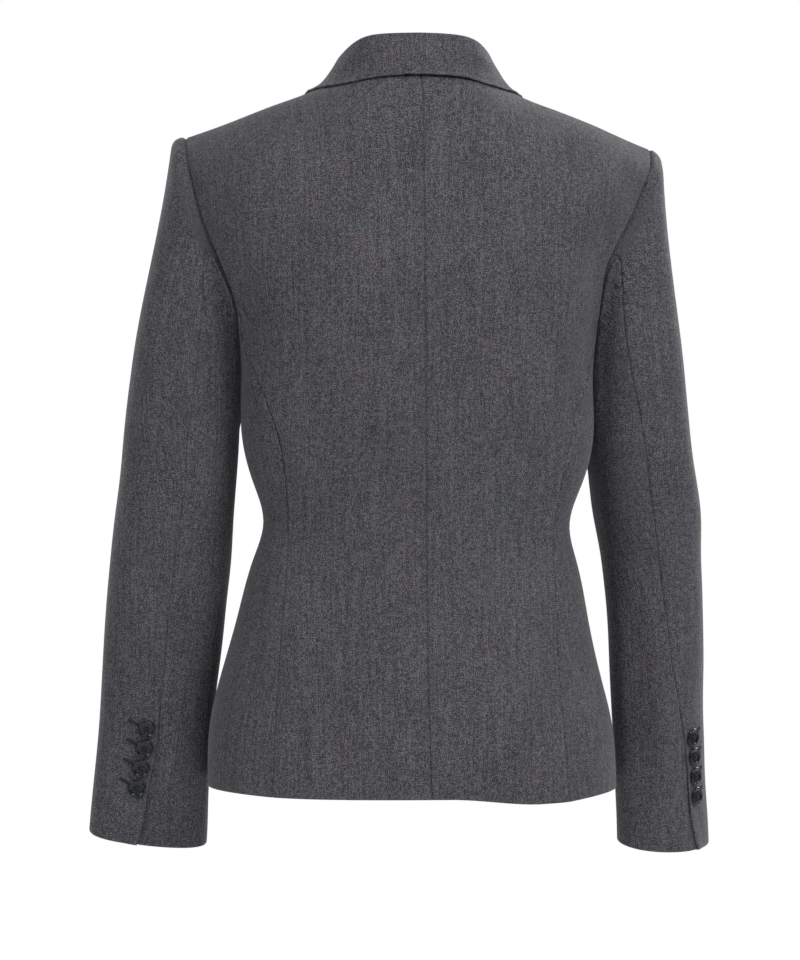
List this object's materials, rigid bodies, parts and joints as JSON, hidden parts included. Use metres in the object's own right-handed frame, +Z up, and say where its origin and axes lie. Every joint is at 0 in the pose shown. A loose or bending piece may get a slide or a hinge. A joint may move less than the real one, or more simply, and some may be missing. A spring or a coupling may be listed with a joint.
{
  "type": "single breasted blazer",
  "caption": "Fitted single breasted blazer with notch lapels and long sleeves with buttoned vents, filled out as worn and empty inside.",
  "frame": {"origin": "midway between the neck ends of the two shoulder seams, where the wearer's shoulders and neck hold the coat up", "axes": "+Z up, the back faces +Y, the front faces -Y, the wearer's left is +X"},
  "size_m": [0.5462, 0.2488, 0.6986],
  "materials": {
    "wool": "matte, brushed dark grey melange wool",
    "button": "polished, with a raised rim"
  },
  "bodies": {
    "root": {"back_left": "wool", "back_right": "wool", "side_left": "wool", "side_right": "wool", "front_left": "wool", "front_right": "wool", "topsleeve_left": "wool", "topsleeve_right": "wool", "undersleeve_left": "wool", "undersleeve_right": "wool", "lapel_left": "wool", "lapel_right": "wool", "collar": "wool", "cuff_button_left_1": "button", "cuff_button_left_2": "button", "cuff_button_left_3": "button", "cuff_button_left_4": "button", "cuff_button_right_1": "button", "cuff_button_right_2": "button", "cuff_button_right_3": "button", "cuff_button_right_4": "button", "front_button_1": "button", "front_button_2": "button"}
  },
  "joints": []
}
